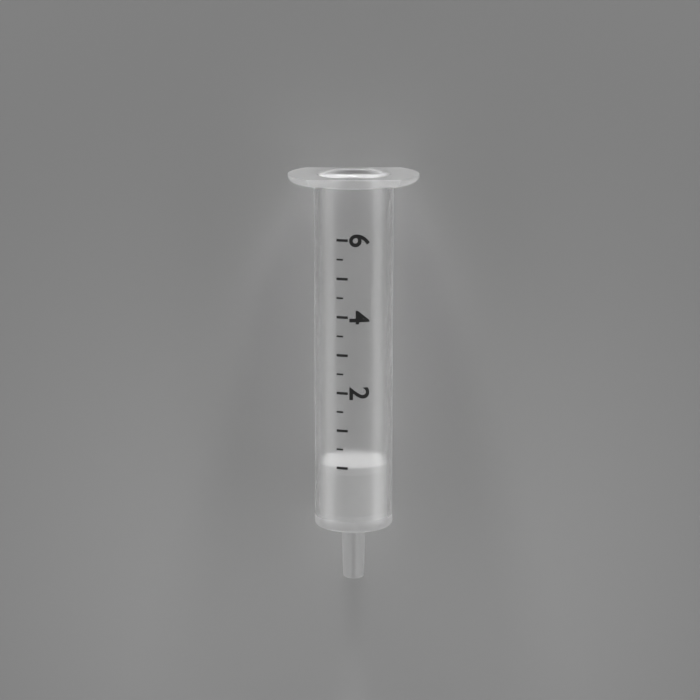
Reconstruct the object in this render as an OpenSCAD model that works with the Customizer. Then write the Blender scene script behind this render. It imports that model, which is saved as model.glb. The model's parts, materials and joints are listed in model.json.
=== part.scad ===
// Solid-phase extraction cartridge: a moulded syringe barrel with a flange and a luer tip,
// which holds a bed of sorbent packed between two porous discs.
// It lies on a flat of its flange and on the shoulder of its barrel, flange towards +Y.
// The origin is the middle of its box on the surface that it lies on, and +Z is up.

/* [Barrel] */
// Bore of the reservoir, above the packing
reservoir_d = 13.2; // [12.4:0.1:14.4]
// Wall of the reservoir
wall_t = 0.9; // [0.7:0.05:1.4]
// Length of the barrel, from its underside to the flange's top face
barrel_len = 68.2; // [50:0.1:95]
// Radius of the shoulder round the barrel's underside
shoulder_r = 0.5; // [0.4:0.1:1.2]
// Radius that leads into the mouth of the bore
mouth_r = 0.6; // [0.2:0.05:0.8]

/* [Flange] */
// Thickness of the flange
flange_t = 1.5; // [1.1:0.05:2.5]
// How far the round rim stands out from the barrel
rim_reach = 4.9; // [3.5:0.1:8]
// How far each of the two flats stands out from the barrel
flat_reach = 1.4; // [1.1:0.1:2.2]
// Radius of the rim's edge at the flange's top face
rim_top_r = 0.25; // [0.1:0.05:0.4]
// Radius of the rim's edge on the side of the barrel
rim_low_r = 1.2; // [0.4:0.05:1.3]
// Radius of the two long edges of each flat
flat_edge_r = 0.4; // [0.1:0.05:0.5]
// Radius in the corner between the flange and the barrel
flange_fillet_r = 0.5; // [0.2:0.05:0.6]

/* [Luer tip] */
// Length of the tip, below the barrel's underside
tip_len = 10.9; // [8:0.1:14]
// Diameter of the tip's cone at its free end
tip_end_d = 4.0; // [3.9:0.01:4.1]
// How much the cone widens in diameter for each millimetre of length
luer_taper = 0.06; // [0.04:0.005:0.08]
// Radius of the edge at the tip's free end
tip_edge_r = 0.4; // [0.1:0.05:0.6]
// Radius in the corner between the tip and the barrel
tip_fillet_r = 0.5; // [0.2:0.05:1]
// Bore of the outlet
outlet_d = 1.5; // [1:0.1:2.2]

/* [Floor of the barrel] */
// Thickness of the floor where it meets the outlet
floor_t = 0.7; // [0.6:0.1:2]
// How far the floor falls from the wall to the outlet
floor_fall = 0.3; // [0.1:0.05:1]
// Height of the ribs at the wall, which leave a drain under the lower disc
rib_h = 0.3; // [0.2:0.05:1]
// Width of each rib
rib_w = 0.7; // [0.4:0.05:1]
// Number of ribs
rib_count = 8; // [4:1:12]
// Radius of the open well round the outlet, inside the ribs
well_r = 1.6; // [1.3:0.1:2.5]

/* [Packing] */
// How much nearer the axis the packing's seat is than the reservoir's wall
seat_step = 0.17; // [0.16:0.01:0.4]
// Length of the taper from the reservoir down to the seat
seat_taper_len = 2.0; // [1:0.1:4]
// How far the seat goes on above the upper disc
seat_spare = 0.5; // [0.2:0.1:2]
// Thickness of each porous disc
frit_t = 1.6; // [1:0.1:3.2]
// Radius of each disc's edge on the side away from the sorbent
frit_edge_r = 0.4; // [0.1:0.05:0.6]
// Radius of each disc's edge on the side of the sorbent
frit_bed_edge_r = 0.05; // [0.02:0.01:0.3]
// Height of the packed sorbent
bed_h = 8.3; // [3:0.1:20]
// Clearance between the packing and its seat
packing_gap = 0.03; // [0.02:0.01:0.1]

/* [Hidden] */
$fn = 96;

// A cut runs this far past the face that it opens.
past = 1;
// The rim keeps at least this much straight edge between its two radii.
rim_land = 0.05;

// Radii from the axis.
bore_r = reservoir_d / 2;
barrel_r = bore_r + wall_t;
seat_r = bore_r - seat_step;
packing_r = seat_r - packing_gap;
rim_r = barrel_r + rim_reach;
flat_y = barrel_r + flat_reach;
outlet_r = outlet_d / 2;

// Heights along the axis, from the tip's free end.
base_z = tip_len;
floor_z = base_z + floor_t;
wall_foot_z = floor_z + floor_fall;
seat_z = wall_foot_z + rib_h;
bed_z = seat_z + frit_t;
upper_frit_z = bed_z + bed_h;
seat_top_z = upper_frit_z + frit_t + seat_spare;
reservoir_z = seat_top_z + seat_taper_len;
mouth_z = base_z + barrel_len;
flange_z = mouth_z - flange_t;
inside_flange_z = mouth_z - flange_t / 2;
rim_low_round = min(rim_low_r, flange_t - rim_top_r - rim_land);

// The tip's side leans by tip_lean for each millimetre of its length.
tip_lean = luer_taper / 2;
tip_slant = sqrt(1 + tip_lean * tip_lean);
function tip_r(z) = tip_end_d / 2 + tip_lean * z;
tip_edge_x = tip_r(tip_edge_r) - tip_edge_r * tip_slant;
tip_fillet_z = base_z - tip_fillet_r;
tip_fillet_x = tip_r(tip_fillet_z) + tip_fillet_r * tip_slant;

// At rest a straight line below the cartridge touches two round edges:
// the flat's edge on the flange, and the shoulder.
// Each is a circle in the plane of the axis, with its height along the axis and its radius from it.
flat_edge_z = flange_z + flat_edge_r;
flat_edge_y = flat_y - flat_edge_r;
shoulder_z = base_z + shoulder_r;
shoulder_y = barrel_r - shoulder_r;
rest_span = norm([flat_edge_z - shoulder_z, flat_edge_y - shoulder_y]);
rest_tilt = atan2(flat_edge_y - shoulder_y, flat_edge_z - shoulder_z)
    - asin((shoulder_r - flat_edge_r) / rest_span);
// Height of the axis over the surface, at the tip's free end.
rest_height = shoulder_y * cos(rest_tilt) - shoulder_z * sin(rest_tilt) + shoulder_r;
// How far the cartridge reaches along Y at rest, from the tip's free end.
rest_low_y = tip_edge_r * cos(rest_tilt) - tip_edge_x * sin(rest_tilt) - tip_edge_r;
rest_high_y = (mouth_z - flat_edge_r) * cos(rest_tilt)
    + flat_edge_y * sin(rest_tilt) + flat_edge_r;

// Turns a piece from standing on its tip to lying at rest.
module lay_down() {
    translate([0, -(rest_low_y + rest_high_y) / 2, rest_height])
        rotate([rest_tilt - 90, 0, 0])
            children();
}

// Half-section of a disc, with a radius on each outer edge.
module disc_section(radius, low, high, low_edge, high_edge) {
    translate([0, low + low_edge])
        square([radius, high - low - low_edge - high_edge]);
    translate([0, low])
        square([radius - low_edge, low_edge]);
    translate([0, high - high_edge])
        square([radius - high_edge, high_edge]);
    translate([radius - low_edge, low + low_edge])
        circle(low_edge);
    translate([radius - high_edge, high - high_edge])
        circle(high_edge);
}

// Half-section of the tube's outside, from the shoulder up into the flange, where its top edge is lost.
module tube_section() {
    disc_section(barrel_r, base_z, inside_flange_z, shoulder_r, rim_top_r);
    translate([0, flange_z])
        square([barrel_r + flange_fillet_r, inside_flange_z - flange_z]);
    difference() {
        translate([0, flange_z - flange_fillet_r])
            square([barrel_r + flange_fillet_r, flange_fillet_r]);
        translate([barrel_r + flange_fillet_r, flange_z - flange_fillet_r])
            circle(flange_fillet_r);
    }
}

// Half-section of the luer cone, with its rounded end and the fillet at its root.
module tip_section() {
    polygon([
        [0, 0],
        [tip_edge_x, 0],
        [tip_edge_x + tip_edge_r / tip_slant, tip_edge_r * (1 - tip_lean / tip_slant)],
        [tip_r(base_z), base_z],
        [tip_r(base_z), floor_z],
        [0, floor_z],
    ]);
    translate([tip_edge_x, tip_edge_r])
        circle(tip_edge_r);
    difference() {
        translate([0, tip_fillet_z + tip_fillet_r * tip_lean / tip_slant])
            square([tip_fillet_x, tip_fillet_r + floor_t / 2]);
        translate([tip_fillet_x, tip_fillet_z])
            circle(tip_fillet_r);
    }
}

// Half-section of everything hollow: outlet, funnel floor, seat, taper, reservoir and mouth.
module core_section() {
    translate([0, -past])
        square([outlet_r, floor_z + past]);
    polygon([
        [0, floor_z],
        [outlet_r, floor_z],
        [seat_r, wall_foot_z],
        [seat_r, seat_top_z],
        [bore_r, reservoir_z],
        [bore_r, mouth_z + past],
        [0, mouth_z + past],
    ]);
    difference() {
        translate([0, mouth_z - mouth_r])
            square([bore_r + mouth_r, mouth_r + past]);
        translate([bore_r + mouth_r, mouth_z - mouth_r])
            circle(mouth_r);
    }
}

// The flange: a round disc between two flats, with every outer edge rounded.
module flange() {
    intersection() {
        rotate_extrude()
            disc_section(rim_r, flange_z, mouth_z, rim_low_round, rim_top_r);
        rotate([90, 0, 90])
            linear_extrude(2 * rim_r + 2 * past, center = true)
                for (side = [0, 1])
                    mirror([side, 0])
                        disc_section(flat_y, flange_z, mouth_z, flat_edge_r, flat_edge_r);
    }
}

// Ribs that hold the lower disc off the floor, so that liquid drains to the outlet.
module floor_ribs() {
    rib_end = seat_r + wall_t / 2;
    for (i = [0 : rib_count - 1])
        rotate([0, 0, (i + 0.5) * 360 / rib_count])
            translate([well_r, -rib_w / 2, floor_z - floor_t / 2])
                cube([rib_end - well_r, rib_w, seat_z - floor_z + floor_t / 2]);
}

// Barrel: one moulding of flange, tube, ribbed floor and luer tip.
module barrel() {
    color([0.86, 0.88, 0.89, 0.45])
        lay_down() {
            difference() {
                union() {
                    rotate_extrude() {
                        tube_section();
                        tip_section();
                    }
                    flange();
                }
                rotate_extrude()
                    core_section();
            }
            floor_ribs();
        }
}

// A porous disc, standing at the given height along the axis, with the radius of each of its edges.
module frit(low, low_edge, high_edge) {
    lay_down()
        rotate_extrude()
            disc_section(packing_r, low, low + frit_t, low_edge, high_edge);
}

// Lower porous disc, which rests on the ribs of the floor.
module lower_frit() {
    color([0.96, 0.96, 0.95])
        frit(seat_z, frit_edge_r, frit_bed_edge_r);
}

// Sorbent, packed as one bed between the two discs.
module sorbent_bed() {
    color([0.93, 0.93, 0.91])
        lay_down()
            translate([0, 0, bed_z])
                cylinder(h = bed_h, r = packing_r);
}

// Upper porous disc, which holds the bed down.
module upper_frit() {
    color([0.96, 0.96, 0.95])
        frit(upper_frit_z, frit_bed_edge_r, frit_edge_r);
}

barrel();
lower_frit();
sorbent_bed();
upper_frit();
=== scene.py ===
import json
import math

import bmesh
import bpy
from bpy.props import FloatProperty, FloatVectorProperty, IntProperty, PointerProperty
from mathutils import Matrix, Vector


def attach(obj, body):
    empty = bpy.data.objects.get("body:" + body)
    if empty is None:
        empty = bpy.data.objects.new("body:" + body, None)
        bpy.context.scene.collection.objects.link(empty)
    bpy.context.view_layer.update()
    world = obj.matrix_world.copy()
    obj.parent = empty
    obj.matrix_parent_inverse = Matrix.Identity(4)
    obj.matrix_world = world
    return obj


bl_info = {
    "name": "SPE Cartridge",
    "version": (1, 0, 0),
    "blender": (4, 5, 0),
    "location": "3D View > Sidebar > Cartridge",
    "description": "Dresses the solids of a solid-phase extraction cartridge and sets its stage",
    "category": "Object",
}

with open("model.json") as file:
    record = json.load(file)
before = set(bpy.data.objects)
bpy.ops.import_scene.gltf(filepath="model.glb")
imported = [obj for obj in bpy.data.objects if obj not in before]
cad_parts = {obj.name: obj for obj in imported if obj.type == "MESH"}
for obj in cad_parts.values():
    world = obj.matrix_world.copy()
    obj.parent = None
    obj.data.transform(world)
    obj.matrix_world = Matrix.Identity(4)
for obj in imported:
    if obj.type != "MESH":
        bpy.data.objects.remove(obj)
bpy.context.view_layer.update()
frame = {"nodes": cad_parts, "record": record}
MOUNTS = {mount["name"]: mount for mount in frame["record"]["mounts"]}
BODY = "root"
MM = 0.001


# ---------------------------------------------------------------- the cartridge's own frame


def mount_place(name):
    return Vector(MOUNTS[name]["pos_m"])


def mount_radius(name):
    return MOUNTS[name]["dims"]["r_mm"] * MM


def mount_length(name):
    return MOUNTS[name]["dims"]["length_mm"] * MM


def lying_matrix():
    """Takes the cartridge from its own frame to where it lies.

    In its own frame its tip's end is at 0 and its flange is up +Z.
    """
    axis = Vector(MOUNTS["reservoir_mouth"]["axis"]).normalized()
    across = Vector((1, 0, 0))
    under = axis.cross(across)
    turn = Matrix((across, under, axis)).transposed().to_4x4()
    return Matrix.Translation(mount_place("luer_tip")) @ turn


LYING = lying_matrix()


def height_of(place):
    """How far a place is from the tip's end, along the cartridge's axis."""
    return (LYING.inverted() @ place).z


BARREL_R = mount_radius("barrel_outside")
BORE_R = mount_radius("reservoir_mouth")
MOUTH_Z = height_of(mount_place("flange_top"))
FLANGE_Z = height_of(mount_place("flange_underside"))
WALL_FOOT_Z = height_of(mount_place("barrel_outside")) - mount_length("barrel_outside") / 2


def node_top(name):
    """How far the top of a node is from the tip's end, along the cartridge's axis."""
    return max(height_of(vertex.co) for vertex in frame["nodes"][name].data.vertices)


PACKING_TOP = node_top("upper_frit")


# ---------------------------------------------------------------- sizes and colours


class CartridgeSizes(bpy.types.PropertyGroup):
    """Sizes of the printed scale, in metres."""

    graduations: IntProperty(
        name="Graduations", description="Millilitres that the printed scale counts",
        min=1, max=8, default=6)
    figure_height: FloatProperty(
        name="Figure height", description="Height of the scale's figures",
        unit="LENGTH", default=3.8 * MM)
    ink_thickness: FloatProperty(
        name="Ink thickness", description="Thickness of the printed ink",
        unit="LENGTH", default=0.02 * MM)


class CartridgeColours(bpy.types.PropertyGroup):
    """Colours of the plastics, the packing, the print and the floor."""

    plastic: FloatVectorProperty(
        name="Plastic", description="Tint of the barrel's plastic where light passes through",
        subtype="COLOR", size=3, min=0, max=1, default=(0.965, 0.965, 0.965))
    haze: FloatVectorProperty(
        name="Haze", description="Colour of the milky haze in the barrel's plastic",
        subtype="COLOR", size=3, min=0, max=1, default=(0.89, 0.89, 0.89))
    disc: FloatVectorProperty(
        name="Porous disc", description="Colour of the sintered discs",
        subtype="COLOR", size=3, min=0, max=1, default=(0.86, 0.86, 0.86))
    sorbent: FloatVectorProperty(
        name="Sorbent", description="Colour of the packed sorbent",
        subtype="COLOR", size=3, min=0, max=1, default=(0.79, 0.79, 0.79))
    ink: FloatVectorProperty(
        name="Ink", description="Colour of the printed scale",
        subtype="COLOR", size=3, min=0, max=1, default=(0.010, 0.010, 0.010))
    floor: FloatVectorProperty(
        name="Floor", description="Colour of the floor",
        subtype="COLOR", size=3, min=0, max=1, default=(0.55, 0.55, 0.55))


# ---------------------------------------------------------------- shader maths


class Wire:
    """A shader socket whose arithmetic adds Math nodes."""

    def __init__(self, graph, socket):
        self.graph = graph
        self.socket = socket

    def __add__(self, other):
        return self.graph.math("ADD", self, other)

    def __sub__(self, other):
        return self.graph.math("SUBTRACT", self, other)

    def __rsub__(self, other):
        return self.graph.math("SUBTRACT", other, self)

    def __mul__(self, other):
        return self.graph.math("MULTIPLY", self, other)

    def __pow__(self, other):
        return self.graph.math("POWER", self, other)

    __radd__ = __add__
    __rmul__ = __mul__


class Graph:
    """The node tree of a material or a world, emptied and ready to be written as expressions."""

    def __init__(self, owner):
        self.owner = owner
        owner.use_nodes = True
        self.tree = owner.node_tree
        self.tree.nodes.clear()

    def node(self, kind, settings=None, values=None, output=0):
        """Adds a node: its settings first, then the values or wires of its sockets."""
        node = self.tree.nodes.new(kind)
        for name, setting in (settings or {}).items():
            setattr(node, name, setting)
        for name, value in (values or {}).items():
            socket = node.inputs[name]
            if isinstance(value, Wire):
                self.tree.links.new(value.socket, socket)
            else:
                socket.default_value = value
        return Wire(self, node.outputs[output] if node.outputs else None)

    def math(self, operation, *values):
        return self.node("ShaderNodeMath", {"operation": operation}, dict(enumerate(values)))

    def mix_colours(self, factor, first, second):
        return self.node("ShaderNodeMix", {"data_type": "RGBA"},
                         {0: factor, 6: first, 7: second}, 2)

    def mix_shaders(self, factor, first, second):
        return self.node("ShaderNodeMixShader", {}, {0: factor, 1: first, 2: second})

    def place(self):
        """Object coordinates, which are metres in the row's frame."""
        return self.node("ShaderNodeTexCoord", output="Object")

    def height(self):
        """Metres from the tip's end, along the cartridge's axis."""
        axis = LYING.to_3x3() @ Vector((0, 0, 1))
        foot = LYING.translation
        along = self.node("ShaderNodeVectorMath", {"operation": "DOT_PRODUCT"},
                          {0: self.place(), 1: tuple(axis)}, "Value")
        return along - foot.dot(axis)

    def smooth_step(self, value, low, high):
        """0 below low and 1 above high, with a smooth rise between them."""
        return self.node("ShaderNodeMapRange", {"interpolation_type": "SMOOTHSTEP"},
                         {"Value": value, "From Min": low, "From Max": high})

    def noise(self, scale, detail=3.0, roughness=0.5):
        """Noise from 0 to 1, whose features are about 1 / scale metres apart."""
        return self.node("ShaderNodeTexNoise", {"noise_dimensions": "3D"}, {
            "Vector": self.place(), "Scale": scale, "Detail": detail, "Roughness": roughness})

    def bump(self, height, strength, distance):
        """A normal that stands out by up to distance metres where height is 1."""
        return self.node("ShaderNodeBump", {}, {
            "Height": height, "Strength": strength, "Distance": distance})

    def finish(self, shader):
        """Connects the shader to the output, and returns the material or world."""
        kind = "World" if isinstance(self.owner, bpy.types.World) else "Material"
        self.node(f"ShaderNodeOutput{kind}", {}, {"Surface": shader})
        return self.owner


def rgba(colour, share=1.0):
    """A colour for a socket, at the given share of its brightness."""
    return (*(share * channel for channel in colour), 1.0)


# ---------------------------------------------------------------- materials

PLASTIC_IOR = 1.49
# The plastic's shadow: this share of it lets a lamp's light straight through, and leaves this much.
SHADOW_SHARE = 0.95
SHADOW_LIGHT = (0.46, 0.46, 0.46, 1.0)


def natural_plastic(colours):
    """Natural polypropylene: clear, with a milky haze that gathers at its edges; in places the haze
    is painted light.
    """
    g = Graph(bpy.data.materials.new("natural_polypropylene"))
    ripple = g.noise(240.0, 2.0)
    height = g.height()

    # Where on the moulding: each is 1 in its place and 0 elsewhere.
    in_flange = g.smooth_step(height, FLANGE_Z - 0.9 * MM, FLANGE_Z + 0.2 * MM)
    across = g.node("ShaderNodeSeparateXYZ", {}, {"Vector": g.place()}, "X")
    # The flange's wings, left and right of the barrel, are made milkier: partly for the plastic's
    # thickness there, partly painted light that makes them lighter than the flange's middle.
    wing_milk_and_painted_light = in_flange * g.smooth_step(g.math("ABSOLUTE", across), 5.0 * MM, 9.5 * MM)
    above_tip = g.smooth_step(height, WALL_FOOT_Z - 1.6 * MM, WALL_FOOT_Z - 0.6 * MM)
    above_packing = g.smooth_step(height, PACKING_TOP - 1.0 * MM, PACKING_TOP + 1.0 * MM)
    # Painted light: the wall beside the packing is made a little milkier, standing in for light from
    # the packing.
    painted_glow_beside_packing = above_tip - above_packing
    in_shoulder = above_tip - g.smooth_step(height, WALL_FOOT_Z + 0.6 * MM, WALL_FOOT_Z + 2.2 * MM)
    # Painted highlight: a milkier, lighter band at the tip's end stands in for the bright ring of
    # light there.
    painted_outlet_highlight = 1.0 - g.smooth_step(height, 0.2 * MM, 1.4 * MM)

    skin = g.bump(ripple * above_tip, 0.004, 0.2 * MM)
    satin = 0.28 + 0.03 * ripple + 0.15 * in_flange - 0.06 * above_tip + 0.12 * in_shoulder
    clear = g.node("ShaderNodeBsdfPrincipled", {}, {
        "Base Color": rgba(colours.plastic),
        "Roughness": satin,
        "IOR": PLASTIC_IOR,
        "Transmission Weight": 1.0,
        "Coat Weight": 0.6 * in_flange,
        "Coat Roughness": 0.12,
        "Coat IOR": PLASTIC_IOR,
        "Normal": skin,
    })

    lit_front = g.node("ShaderNodeBsdfDiffuse", {}, {"Color": rgba(colours.haze), "Normal": skin})
    lit_behind = g.node("ShaderNodeBsdfTranslucent", {}, {
        "Color": rgba(colours.haze), "Normal": skin})
    milk = g.mix_shaders(0.5, lit_front, lit_behind)
    edge_on = g.node("ShaderNodeLayerWeight", {}, {"Blend": 0.5}, "Facing")
    # Painted light: the wall is milkier, and so lighter, near the packing, as if lit by the white
    # packing; this fades out towards the mouth.
    packing_glow_fade = g.smooth_step(height, PACKING_TOP, MOUTH_Z)
    skin_haze = 0.06 - 0.055 * packing_glow_fade + (0.5 - 0.38 * in_flange) * edge_on ** 3.0
    # The haze: milk at grazing edges and more at the shoulder, with painted light in the wings,
    # beside and above the packing and at the tip's end.
    haze = ((0.9 + 0.1 * above_tip) * skin_haze + 0.045 * wing_milk_and_painted_light + 0.01 * painted_glow_beside_packing
            + 0.12 * in_shoulder + 0.10 * painted_outlet_highlight)
    body = g.mix_shaders(haze, clear, milk)

    lamp_ray = g.node("ShaderNodeLightPath", output="Is Shadow Ray")
    through = g.node("ShaderNodeBsdfTransparent", {}, {"Color": SHADOW_LIGHT})
    return g.finish(g.mix_shaders(SHADOW_SHARE * lamp_ray, body, through))


def sintered_plastic(colours):
    """Sintered polyethylene: matt, with the grain of the beads that it is made of."""
    g = Graph(bpy.data.materials.new("sintered_polyethylene"))
    grain = g.noise(6000.0)
    return g.finish(g.node("ShaderNodeBsdfPrincipled", {}, {
        "Base Color": g.mix_colours(grain, rgba(colours.disc, 0.93), rgba(colours.disc)),
        "Roughness": 0.75,
        "Normal": g.bump(grain, 0.4, 0.05 * MM),
    }))


def packed_powder(colours):
    """Packed sorbent: a fine powder."""
    g = Graph(bpy.data.materials.new("packed_sorbent"))
    grain = g.noise(9000.0)
    return g.finish(g.node("ShaderNodeBsdfPrincipled", {}, {
        "Base Color": g.mix_colours(grain, rgba(colours.sorbent, 0.93), rgba(colours.sorbent)),
        "Roughness": 0.9,
        "Normal": g.bump(grain, 0.4, 0.04 * MM),
    }))


def screen_ink(colours):
    """Screen ink, which covers a little unevenly."""
    g = Graph(bpy.data.materials.new("screen_ink"))
    cover = g.noise(2500.0, 2.0)
    return g.finish(g.node("ShaderNodeBsdfPrincipled", {}, {
        "Base Color": g.mix_colours(cover, rgba(colours.ink), rgba(colours.ink, 1.8)),
        "Roughness": 0.38 + 0.12 * cover,
        "Normal": g.bump(cover, 0.2, 0.01 * MM),
    }))


# A painted pool of light on the floor: it is palest at this place, and fades out this far from it.
LIGHT_POOL_MIDDLE = (0.0, -45.0 * MM, 0.0)
LIGHT_POOL_FADE = 120.0 * MM


def studio_floor(colours):
    """Matt paper with a painted pool of light, palest below the tip and darker all round."""
    g = Graph(bpy.data.materials.new("studio_floor"))
    from_middle = g.node("ShaderNodeVectorMath", {"operation": "SUBTRACT"},
                         {0: g.place(), 1: LIGHT_POOL_MIDDLE})
    reach = g.node("ShaderNodeVectorMath", {"operation": "LENGTH"}, {0: from_middle}, "Value")
    out_of_light_pool = g.smooth_step(reach, 0.0, LIGHT_POOL_FADE)
    return g.finish(g.node("ShaderNodeBsdfPrincipled", {}, {
        # Painted pool of light: the floor's colour is 1.10 of itself in the middle and 0.75 of itself
        # far off.
        "Base Color": g.mix_colours(out_of_light_pool, rgba(colours.floor, 1.10), rgba(colours.floor, 0.75)),
        "Roughness": 0.85,
        "Specular IOR Level": 0.1,
    }))


# The air's light on everything, and how much paler it is where it is seen.
AIR_LIGHT = 0.07
AIR_SEEN = 0.11


def studio_air():
    """A dim even light from all round, which looks about as pale as the floor."""
    g = Graph(bpy.data.worlds.new("studio_air"))
    seen = sum(g.node("ShaderNodeLightPath", output=ray)
               for ray in ("Is Camera Ray", "Is Glossy Ray", "Is Transmission Ray"))
    return g.finish(g.node("ShaderNodeBackground", {}, {
        "Color": (1, 1, 1, 1),
        "Strength": AIR_LIGHT + AIR_SEEN * g.math("MINIMUM", seen, 1.0),
    }))


# ---------------------------------------------------------------- the printed scale

# How far one millilitre, 1000 cubic millimetres, reaches along the bore.
ML_PITCH = 1000.0 / (math.pi * (BORE_R / MM) ** 2) * MM
# The ink stands off the barrel by this little, so that the two surfaces don't meet.
INK_GAP = 0.004 * MM
# Width of the strips that the flat ink is cut in, and the distance at which two corners are one.
STRIP = 0.3 * MM
WELD = 1e-7

# Where the ticks start and the figures stand, round the barrel from its front.
SCALE_LEFT = -3.3 * MM
FIGURE_FOOT = -0.7 * MM
WHOLE_TICK = 2.2 * MM
WHOLE_TICK_LINE = 0.50 * MM
HALF_TICK = 1.3 * MM
HALF_TICK_LINE = 0.34 * MM

# How high the font's figures are at size 1, and how far their strokes are widened on each side.
FIGURE_SHARE = 0.72
FIGURE_WEIGHT = 0.10 * MM


def ink_figure(ink, text, height, thickness, foot, along):
    """Adds a figure as a flat slab. Its foot is at X = foot, and it is centred on Y = along."""
    curve = bpy.data.curves.new("figure", "FONT")
    curve.body = text
    curve.align_x = "CENTER"
    curve.size = height / FIGURE_SHARE
    curve.extrude = thickness / 2
    curve.offset = FIGURE_WEIGHT
    curve.resolution_u = 6
    figure = bpy.data.objects.new("figure", curve)
    bpy.context.scene.collection.objects.link(figure)
    shaped = figure.evaluated_get(bpy.context.evaluated_depsgraph_get())
    mesh = bpy.data.meshes.new_from_object(shaped)
    turn = Matrix.Rotation(math.radians(-90), 4, "Z")
    mesh.transform(Matrix.Translation((foot, along, thickness / 2)) @ turn)
    ink.from_mesh(mesh)
    bpy.data.objects.remove(figure)
    bpy.data.curves.remove(curve)
    bpy.data.meshes.remove(mesh)


def ink_tick(ink, length, width, thickness, left, along):
    """Adds a tick as a flat slab from X = left, centred on Y = along."""
    size = Matrix.Diagonal((length, width, thickness, 1))
    middle = Matrix.Translation((left + length / 2, along, thickness / 2))
    bmesh.ops.create_cube(ink, size=1, matrix=middle @ size)


def cut_in_strips(ink, left, right):
    """Cuts the slabs across X, so that they can bend round the barrel."""
    cuts = math.ceil((right - left) / STRIP)
    for cut in range(1, cuts):
        everything = ink.verts[:] + ink.edges[:] + ink.faces[:]
        bmesh.ops.bisect_plane(ink, geom=everything, dist=WELD,
                               plane_co=(left + cut * STRIP, 0, 0), plane_no=(1, 0, 0))


def wrap_round_barrel(ink):
    """Bends the slabs round the front of the barrel: X goes round it and Y along it."""
    for vertex in ink.verts:
        round_it, along, out = vertex.co
        angle = round_it / BARREL_R
        radius = BARREL_R + INK_GAP + out
        vertex.co = LYING @ Vector((radius * math.sin(angle), -radius * math.cos(angle), along))


# ---------------------------------------------------------------- the pieces' operators


class CARTRIDGE_OT_barrel(bpy.types.Operator):
    """Give the moulded barrel its milky, clear plastic"""

    bl_idname = "cartridge.barrel"
    bl_label = "Barrel"

    def execute(self, context):
        plastic = natural_plastic(context.scene.cartridge_colours)
        frame["nodes"]["barrel"].material_slots[0].material = plastic
        return {"FINISHED"}


class CARTRIDGE_OT_packing(bpy.types.Operator):
    """Give the porous discs and the sorbent bed their finish"""

    bl_idname = "cartridge.packing"
    bl_label = "Packing"

    def execute(self, context):
        colours = context.scene.cartridge_colours
        disc = sintered_plastic(colours)
        for name in ("lower_frit", "upper_frit"):
            frame["nodes"][name].material_slots[0].material = disc
        frame["nodes"]["sorbent_bed"].material_slots[0].material = packed_powder(colours)
        return {"FINISHED"}


class CARTRIDGE_OT_scale(bpy.types.Operator):
    """Print the volume scale on the front of the barrel"""

    bl_idname = "cartridge.scale"
    bl_label = "Volume Scale"

    def execute(self, context):
        sizes = context.scene.cartridge_sizes
        thickness = sizes.ink_thickness
        height = sizes.figure_height
        ink = bmesh.new()
        for half in range(2 * sizes.graduations + 1):
            along = PACKING_TOP + half * ML_PITCH / 2
            if half % 2 == 0:
                ink_tick(ink, WHOLE_TICK, WHOLE_TICK_LINE, thickness, SCALE_LEFT, along)
            else:
                ink_tick(ink, HALF_TICK, HALF_TICK_LINE, thickness, SCALE_LEFT, along)
            if half % 4 == 0 and half:
                ink_figure(ink, str(half // 2), height, thickness, FIGURE_FOOT, along)
        bmesh.ops.remove_doubles(ink, verts=ink.verts, dist=WELD)
        cut_in_strips(ink, SCALE_LEFT, FIGURE_FOOT + height)
        wrap_round_barrel(ink)
        bmesh.ops.recalc_face_normals(ink, faces=ink.faces)
        mesh = bpy.data.meshes.new("volume_scale")
        ink.to_mesh(mesh)
        ink.free()
        mesh.materials.append(screen_ink(context.scene.cartridge_colours))
        scale = bpy.data.objects.new("volume_scale", mesh)
        context.scene.collection.objects.link(scale)
        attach(scale, BODY)
        return {"FINISHED"}


# ---------------------------------------------------------------- the stage

FLOOR_SIZE = 6.0
# The camera's place and its pitch down are in the cartridge's own frame. Its lens is in millimetres.
CAMERA_PLACE = Vector((-0.68 * MM, -436.5 * MM, MOUTH_Z + 61.2 * MM))
CAMERA_PITCH = math.radians(12.3)
CAMERA_LENS = 120.24
CAMERA_SENSOR = 36.0
CAMERA_NEAR = 0.01
# The lamps point at this place, in the middle of the barrel.
LAMP_AIM = Vector((0, 0, 8.0 * MM))


def lay_floor(context, colours):
    """Adds the flat floor that the cartridge lies on."""
    half = FLOOR_SIZE / 2
    mesh = bpy.data.meshes.new("floor")
    corners = [(-half, -half, 0), (half, -half, 0), (half, half, 0), (-half, half, 0)]
    mesh.from_pydata(corners, [], [(0, 1, 2, 3)])
    mesh.materials.append(studio_floor(colours))
    floor = bpy.data.objects.new("floor", mesh)
    context.scene.collection.objects.link(floor)


def place_camera(context):
    """Adds the camera, which looks at the front of the barrel from above its mouth."""
    data = bpy.data.cameras.new("camera")
    data.lens = CAMERA_LENS
    data.sensor_width = CAMERA_SENSOR
    data.clip_start = CAMERA_NEAR
    camera = bpy.data.objects.new("camera", data)
    context.scene.collection.objects.link(camera)
    forward = Vector((0, math.cos(CAMERA_PITCH), -math.sin(CAMERA_PITCH)))
    up = Vector((0, math.sin(CAMERA_PITCH), math.cos(CAMERA_PITCH)))
    right = forward.cross(up)
    turn = Matrix((right, up, -forward)).transposed().to_4x4()
    camera.matrix_world = LYING @ Matrix.Translation(CAMERA_PLACE) @ turn
    context.scene.camera = camera


def soft_box(context, name, place, width, height, level):
    """Adds a wide lamp. At level 1 a white surface that faces it shows as white."""
    place = Vector(place)
    aim = LAMP_AIM - place
    lamp = bpy.data.lights.new(name, "AREA")
    lamp.shape = "RECTANGLE"
    lamp.size = width
    lamp.size_y = height
    lamp.energy = level * (math.pi * aim.length) ** 2
    box = bpy.data.objects.new(name, lamp)
    context.scene.collection.objects.link(box)
    box.location = place
    box.rotation_euler = aim.to_track_quat("-Z", "Y").to_euler()
    box.visible_camera = False


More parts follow.
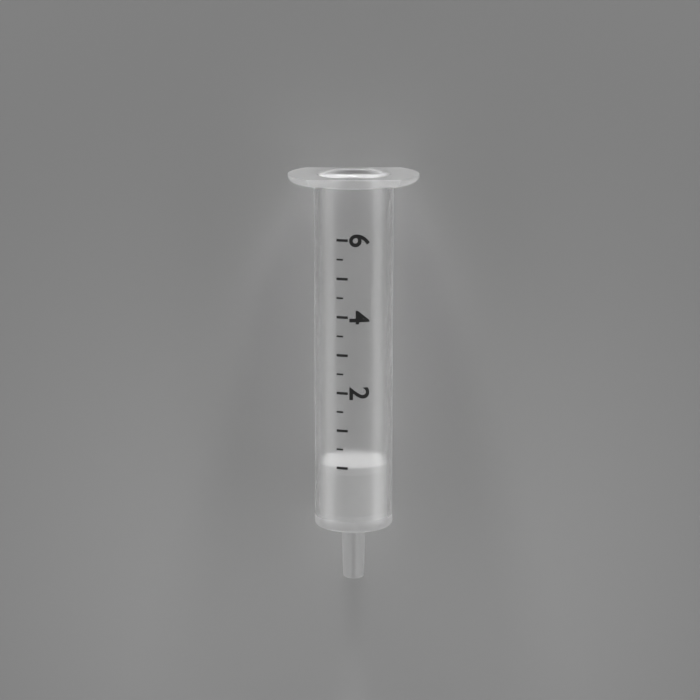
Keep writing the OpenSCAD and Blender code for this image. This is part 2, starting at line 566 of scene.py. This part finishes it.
class CARTRIDGE_OT_stage(bpy.types.Operator):
    """Set the floor, the camera and the lamps"""

    bl_idname = "cartridge.stage"
    bl_label = "Stage"

    def execute(self, context):
        lay_floor(context, context.scene.cartridge_colours)
        place_camera(context)
        soft_box(context, "left_box", (-1.20, -0.15, 0.335), width=4.8, height=0.69, level=0.81)
        soft_box(context, "right_box", (1.20, -0.15, 0.335), width=4.8, height=0.69, level=0.93)
        soft_box(context, "mouth_box", (0.0, 1.10, 0.16), width=1.2, height=0.30, level=0.60)
        soft_box(context, "mouth_lamp_left", (-0.25, 1.07, 0.16), width=0.15, height=0.09, level=0.42)
        soft_box(context, "mouth_lamp_right", (0.25, 1.07, 0.16), width=0.15, height=0.09, level=0.37)
        soft_box(context, "tip_box", (0.0, -0.90, 0.30), width=1.2, height=0.40, level=0.15)
        soft_box(context, "overhead_strip", (0.0, -0.27, 1.20), width=2.0, height=0.25, level=0.04)
        context.scene.world = studio_air()
        context.scene.view_settings.view_transform = "Standard"
        return {"FINISHED"}


# ---------------------------------------------------------------- the add-on


class CARTRIDGE_PT_panel(bpy.types.Panel):
    """Sizes, colours and the steps that build the cartridge"""

    bl_label = "Cartridge"
    bl_idname = "CARTRIDGE_PT_panel"
    bl_space_type = "VIEW_3D"
    bl_region_type = "UI"
    bl_category = "Cartridge"

    def draw(self, context):
        for group in (context.scene.cartridge_sizes, context.scene.cartridge_colours):
            for name in group.bl_rna.properties.keys():
                if name not in ("rna_type", "name"):
                    self.layout.prop(group, name)
        for step in STEPS:
            self.layout.operator(step.bl_idname)


STEPS = (CARTRIDGE_OT_barrel, CARTRIDGE_OT_packing, CARTRIDGE_OT_scale, CARTRIDGE_OT_stage)
CLASSES = (CartridgeSizes, CartridgeColours, *STEPS, CARTRIDGE_PT_panel)


def register():
    for item in CLASSES:
        bpy.utils.register_class(item)
    bpy.types.Scene.cartridge_sizes = PointerProperty(type=CartridgeSizes)
    bpy.types.Scene.cartridge_colours = PointerProperty(type=CartridgeColours)


def unregister():
    del bpy.types.Scene.cartridge_colours
    del bpy.types.Scene.cartridge_sizes
    for item in reversed(CLASSES):
        bpy.utils.unregister_class(item)


def main():
    register()
    bpy.ops.cartridge.stage()
    bpy.ops.cartridge.barrel()
    bpy.ops.cartridge.packing()
    bpy.ops.cartridge.scale()


if __name__ == "__main__":
    main()
